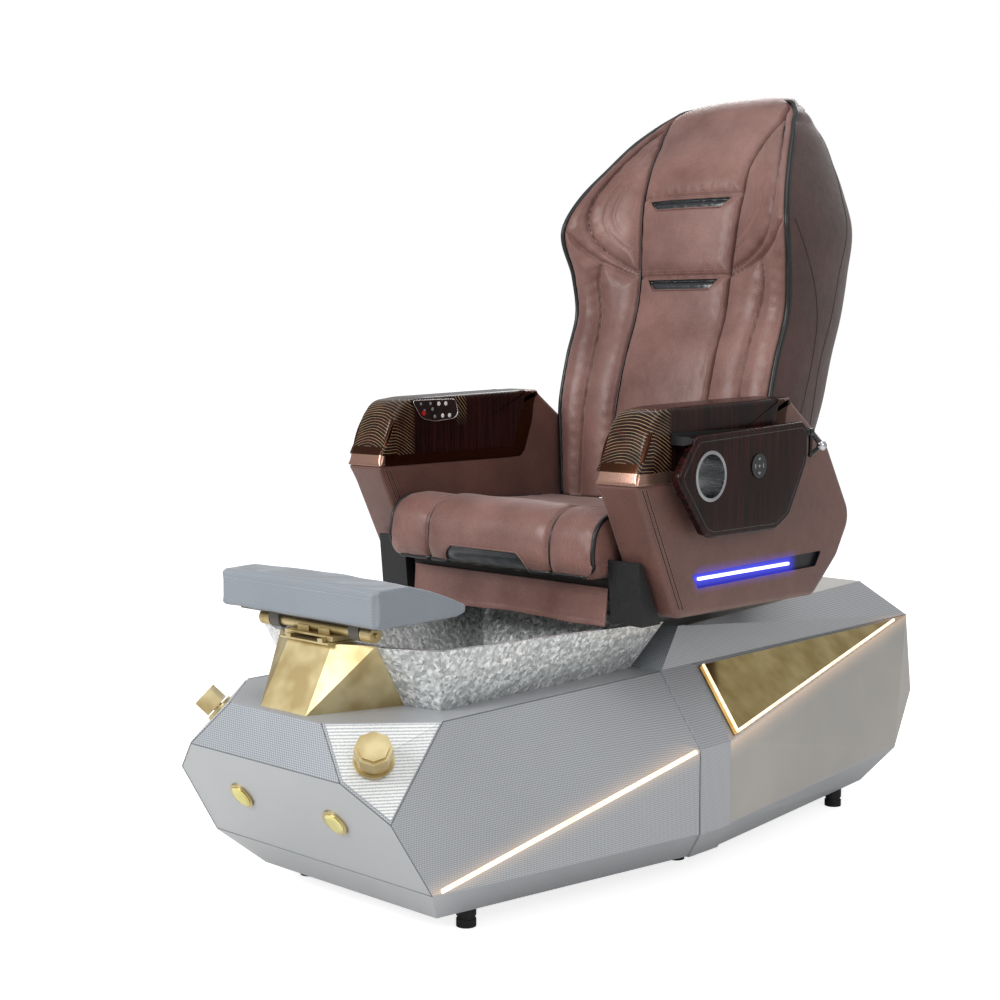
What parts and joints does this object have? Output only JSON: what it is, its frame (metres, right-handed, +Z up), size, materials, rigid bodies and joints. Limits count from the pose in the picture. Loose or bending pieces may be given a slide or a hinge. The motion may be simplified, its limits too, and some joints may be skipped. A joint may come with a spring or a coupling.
{
  "type": "pedicure spa chair",
  "caption": "Reclining upholstered massage chair with lifting arms and swing-out trays on a faceted silver foot-spa base with a tilting footrest and gold fittings.",
  "frame": {"origin": "on the floor under the centre of the whole chair's box, on its middle plane", "axes": "+Z up; the chair faces -Y, from the tail of the base towards its nose; +X is the sitter's left"},
  "size_m": [0.804, 1.63, 1.45],
  "materials": {
    "base_silver": "satin silver-grey acrylic with a fine printed weave",
    "base_light_silver": "light silver acrylic",
    "gold_metal": "polished light gold",
    "gold_mirror": "gold-tinted mirror",
    "warm_light": "warm white light strip",
    "basin_silver": "hammered silver-white basin",
    "steel_bright": "polished stainless",
    "steel_brushed": "brushed stainless",
    "machine_grey": "moulded motor and pump bodies",
    "frame_black": "black powder coat",
    "foot_black": "black rubber",
    "jet_white": "white moulding",
    "jet_blue": "blue moulding",
    "pad_grey": "blue-grey upholstery",
    "board_grey": "moulded board",
    "leather_mauve": "mauve-brown leather",
    "leather_dark": "dark brown leather-covered shell",
    "pan_wood": "plywood",
    "bracket_black": "textured black",
    "wood_dark": "dark glossy mahogany",
    "trim_bronze": "rose-bronze anodised",
    "blue_light": "blue light strip",
    "panel_black": "gloss black",
    "key_red": "red key"
  },
  "bodies": {
    "base": {"front_shell": "base_silver", "rear_shell": "base_silver", "centre_band": "base_light_silver", "deck_panels": "base_light_silver", "mirror_panels": "gold_mirror", "base_lights": "warm_light", "basin": "basin_silver", "drain_strainer": "steel_bright", "drain_pump": "machine_grey", "jet_housing": "jet_white", "jet_motor": "machine_grey", "base_frame": "frame_black", "levelling_feet": "foot_black", "pedestal": "gold_metal", "footrest_rails": "gold_metal", "fitting_collars": "gold_metal", "control_box": "machine_grey", "slide_rails": "steel_brushed", "slide_motor": "machine_grey"},
    "impeller": {"jet_impeller": "jet_blue"},
    "mixer": {"mixer_knob": "gold_metal"},
    "spray": {"hand_spray": "gold_metal"},
    "jet_key": {"jet_button": "gold_metal"},
    "drain_key": {"drain_button": "gold_metal"},
    "footrest_slider": {"footrest_carriage": "gold_metal"},
    "footrest": {"footrest_board": "board_grey", "footrest_pad": "pad_grey"},
    "seat": {"seat_frame": "frame_black", "seat_pan": "pan_wood", "seat_cushion": "leather_mauve", "skirt_flap": "leather_mauve", "arm_brackets": "bracket_black", "recline_motor": "machine_grey"},
    "rod": {"recline_rod": "steel_bright"},
    "back": {"back_frame": "frame_black", "back_shell": "leather_dark", "back_cushion": "leather_mauve", "back_panel": "leather_mauve"},
    "massage": {"massage_carriage": "machine_grey"},
    "rollers": {"massage_rollers": "bracket_black"},
    "left_arm": {"arm_left": "leather_mauve", "wood_left": "wood_dark", "trim_left": "trim_bronze", "arm_light_left": "blue_light", "tray_hinge_left": "bracket_black"},
    "right_arm": {"arm_right": "leather_mauve", "wood_right": "wood_dark", "trim_right": "trim_bronze", "arm_light_right": "blue_light", "tray_hinge_right": "bracket_black", "remote_panel": "panel_black"},
    "power": {"power_key": "key_red"},
    "left_tray": {"tray_left": "wood_dark", "cup_left": "steel_brushed"},
    "right_tray": {"tray_right": "wood_dark", "cup_right": "steel_brushed"},
    "left_dial": {"dial_left": "panel_black"},
    "right_dial": {"dial_right": "panel_black"},
    "left_lock": {"lock_left": "steel_bright"},
    "right_lock": {"lock_right": "steel_bright"}
  },
  "joints": [
    {"name": "jet_spin", "type": "hinge", "parent": "base", "child": "impeller", "pos_m": [0, -0.104, 0.25], "axis": [0, 1, 0], "continuous": true},
    {"name": "mixer_turn", "type": "hinge", "parent": "base", "child": "mixer", "pos_m": [0.20649, -0.75896, 0.31847], "axis": [0.5315, -0.4938, 0.6883], "range_deg": [-60, 60]},
    {"name": "spray_pull", "type": "slide", "parent": "base", "child": "spray", "axis": [-0.5315, -0.4938, 0.6883], "range_m": [0, 0.2]},
    {"name": "jet_press", "type": "slide", "parent": "base", "child": "jet_key", "axis": [0, 0.851, 0.5251], "range_m": [0, 0.003], "stiffness_N_per_m": 500},
    {"name": "drain_press", "type": "slide", "parent": "base", "child": "drain_key", "axis": [0, 0.851, 0.5251], "range_m": [0, 0.003], "stiffness_N_per_m": 500},
    {"name": "footrest_slide", "type": "slide", "parent": "base", "child": "footrest_slider", "axis": [0, 1, 0], "range_m": [-0.03, 0.03]},
    {"name": "footrest_tilt", "type": "hinge", "parent": "footrest_slider", "child": "footrest", "pos_m": [0, -0.692, 0.5001], "axis": [1, 0, 0], "range_deg": [-10, 15]},
    {"name": "seat_slide", "type": "slide", "parent": "base", "child": "seat", "axis": [0, 1, 0], "range_m": [-0.075, 0.075]},
    {"name": "recline", "type": "hinge", "parent": "seat", "child": "back", "pos_m": [0, 0.25, 0.585], "axis": [-1, 0, 0], "range_deg": [0, 30]},
    {"name": "recline_drive", "type": "slide", "parent": "seat", "child": "rod", "axis": [0, 1, 0], "range_m": [-0.037, 0]},
    {"name": "massage_travel", "type": "slide", "parent": "back", "child": "massage", "axis": [0, 0.2425, 0.9701], "range_m": [-0.15, 0.15]},
    {"name": "roller_spin", "type": "hinge", "parent": "massage", "child": "rollers", "pos_m": [0, 0.38533, 1.04134], "axis": [1, 0, 0], "continuous": true},
    {"name": "left_arm_lift", "type": "hinge", "parent": "seat", "child": "left_arm", "pos_m": [0.2825, 0.27, 0.56], "axis": [-1, 0, 0], "range_deg": [0, 30]},
    {"name": "right_arm_lift", "type": "hinge", "parent": "seat", "child": "right_arm", "pos_m": [-0.2825, 0.27, 0.56], "axis": [-1, 0, 0], "range_deg": [0, 30]},
    {"name": "left_tray_swing", "type": "hinge", "parent": "left_arm", "child": "left_tray", "pos_m": [0.391, -0.03, 0.8], "axis": [0, -1, 0], "range_deg": [0, 90]},
    {"name": "right_tray_swing", "type": "hinge", "parent": "right_arm", "child": "right_tray", "pos_m": [-0.391, -0.03, 0.8], "axis": [0, 1, 0], "range_deg": [0, 90]},
    {"name": "left_lock_turn", "type": "hinge", "parent": "left_arm", "child": "left_lock", "pos_m": [0.391, 0.163, 0.8], "axis": [0, -1, 0], "range_deg": [0, 60]},
    {"name": "right_lock_turn", "type": "hinge", "parent": "right_arm", "child": "right_lock", "pos_m": [-0.391, 0.163, 0.8], "axis": [0, 1, 0], "range_deg": [0, 60]},
    {"name": "left_dial_press", "type": "slide", "parent": "left_tray", "child": "left_dial", "axis": [-1, 0, 0], "range_m": [0, 0.001], "stiffness_N_per_m": 800},
    {"name": "right_dial_press", "type": "slide", "parent": "right_tray", "child": "right_dial", "axis": [1, 0, 0], "range_m": [0, 0.001], "stiffness_N_per_m": 800},
    {"name": "power_press", "type": "slide", "parent": "right_arm", "child": "power", "axis": [-1, 0, 0], "range_m": [0, 0.001], "stiffness_N_per_m": 400}
  ],
  "couplings": [
    {"joint": "recline_drive", "follows": "recline", "m_per_rad": -0.0706}
  ]
}
